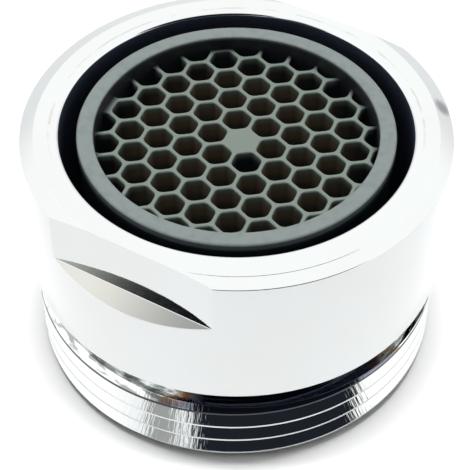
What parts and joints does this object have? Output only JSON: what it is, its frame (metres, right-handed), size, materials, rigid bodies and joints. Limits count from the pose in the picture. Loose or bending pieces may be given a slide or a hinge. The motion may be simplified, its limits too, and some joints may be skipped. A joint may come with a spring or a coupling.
{
  "type": "tap aerator",
  "caption": "Round chromed tap aerator with a male thread at the inlet, spanner flats and a recessed honeycomb outlet that mixes air into the stream.",
  "frame": {"origin": "centre of the washer's sealing face, at the inlet end that the part stands on", "axes": "+Z along the axis towards the outlet, with the spanner flats' normals about 60 degrees from X"},
  "size_m": [0.0204, 0.0204, 0.0127],
  "materials": {
    "chrome_plate": "polished chrome plate on turned brass",
    "grey_acetal": "moulded acetal, satin",
    "white_acetal": "moulded acetal, satin",
    "black_rubber": "moulded rubber"
  },
  "bodies": {
    "root": {"housing": "chrome_plate", "outlet_insert": "grey_acetal", "upper_mixing_grid": "white_acetal", "lower_mixing_grid": "white_acetal", "jet_disc": "white_acetal", "strainer": "white_acetal", "sealing_washer": "black_rubber"}
  },
  "joints": []
}
